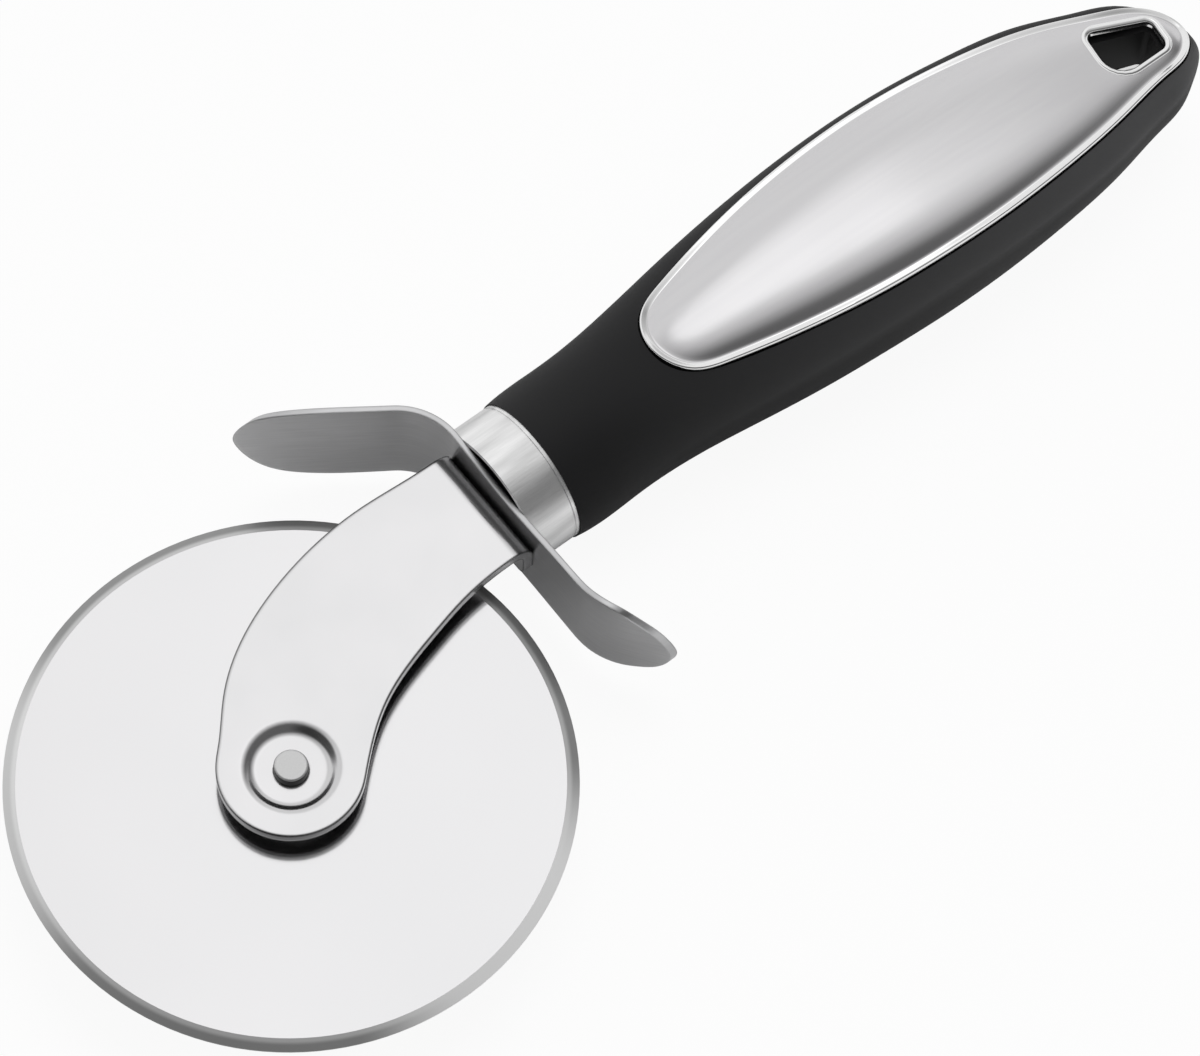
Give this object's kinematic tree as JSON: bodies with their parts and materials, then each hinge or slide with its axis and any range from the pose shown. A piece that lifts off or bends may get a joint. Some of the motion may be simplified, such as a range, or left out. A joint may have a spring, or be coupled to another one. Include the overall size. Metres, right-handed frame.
{
  "type": "pizza cutter wheel",
  "caption": "Hand-held pizza cutter: a sharp steel wheel turns on a rivet in a dished steel arm, with a bent finger guard, a ferrule and a soft-grip handle with bright inlays and a hang hole.",
  "frame": {"origin": "under the middle of the whole part, on the surface that it lies on", "axes": "+X along the handle towards its hanging end, +Y towards the thumb wing of the guard, +Z along the wheel's turning axis, upwards"},
  "size_m": [0.195, 0.0776, 0.0228],
  "materials": {
    "polished_steel": "polished stainless steel",
    "satin_steel": "finely brushed stainless steel",
    "rivet_steel": "plain turned steel",
    "nylon": "natural nylon",
    "hard_black_plastic": "moulded, hard",
    "soft_black_grip": "satin soft-touch",
    "bright_plate": "bright plated, softly polished"
  },
  "bodies": {
    "handle": {"wheel_arm": "polished_steel", "finger_guard": "satin_steel", "ferrule": "satin_steel", "axle_rivet": "rivet_steel", "spacer_sleeve": "rivet_steel", "tang": "rivet_steel", "front_washer": "nylon", "rear_washer": "nylon", "handle_core": "hard_black_plastic", "handle_grip": "soft_black_grip", "front_inlay": "bright_plate", "rear_inlay": "bright_plate"},
    "wheel": {"cutting_wheel": "polished_steel"}
  },
  "joints": [
    {"name": "wheel_spin", "type": "hinge", "parent": "handle", "child": "wheel", "pos_m": [-0.0615, -0.00275, 0.0114], "axis": [0, 0, 1], "continuous": true}
  ]
}
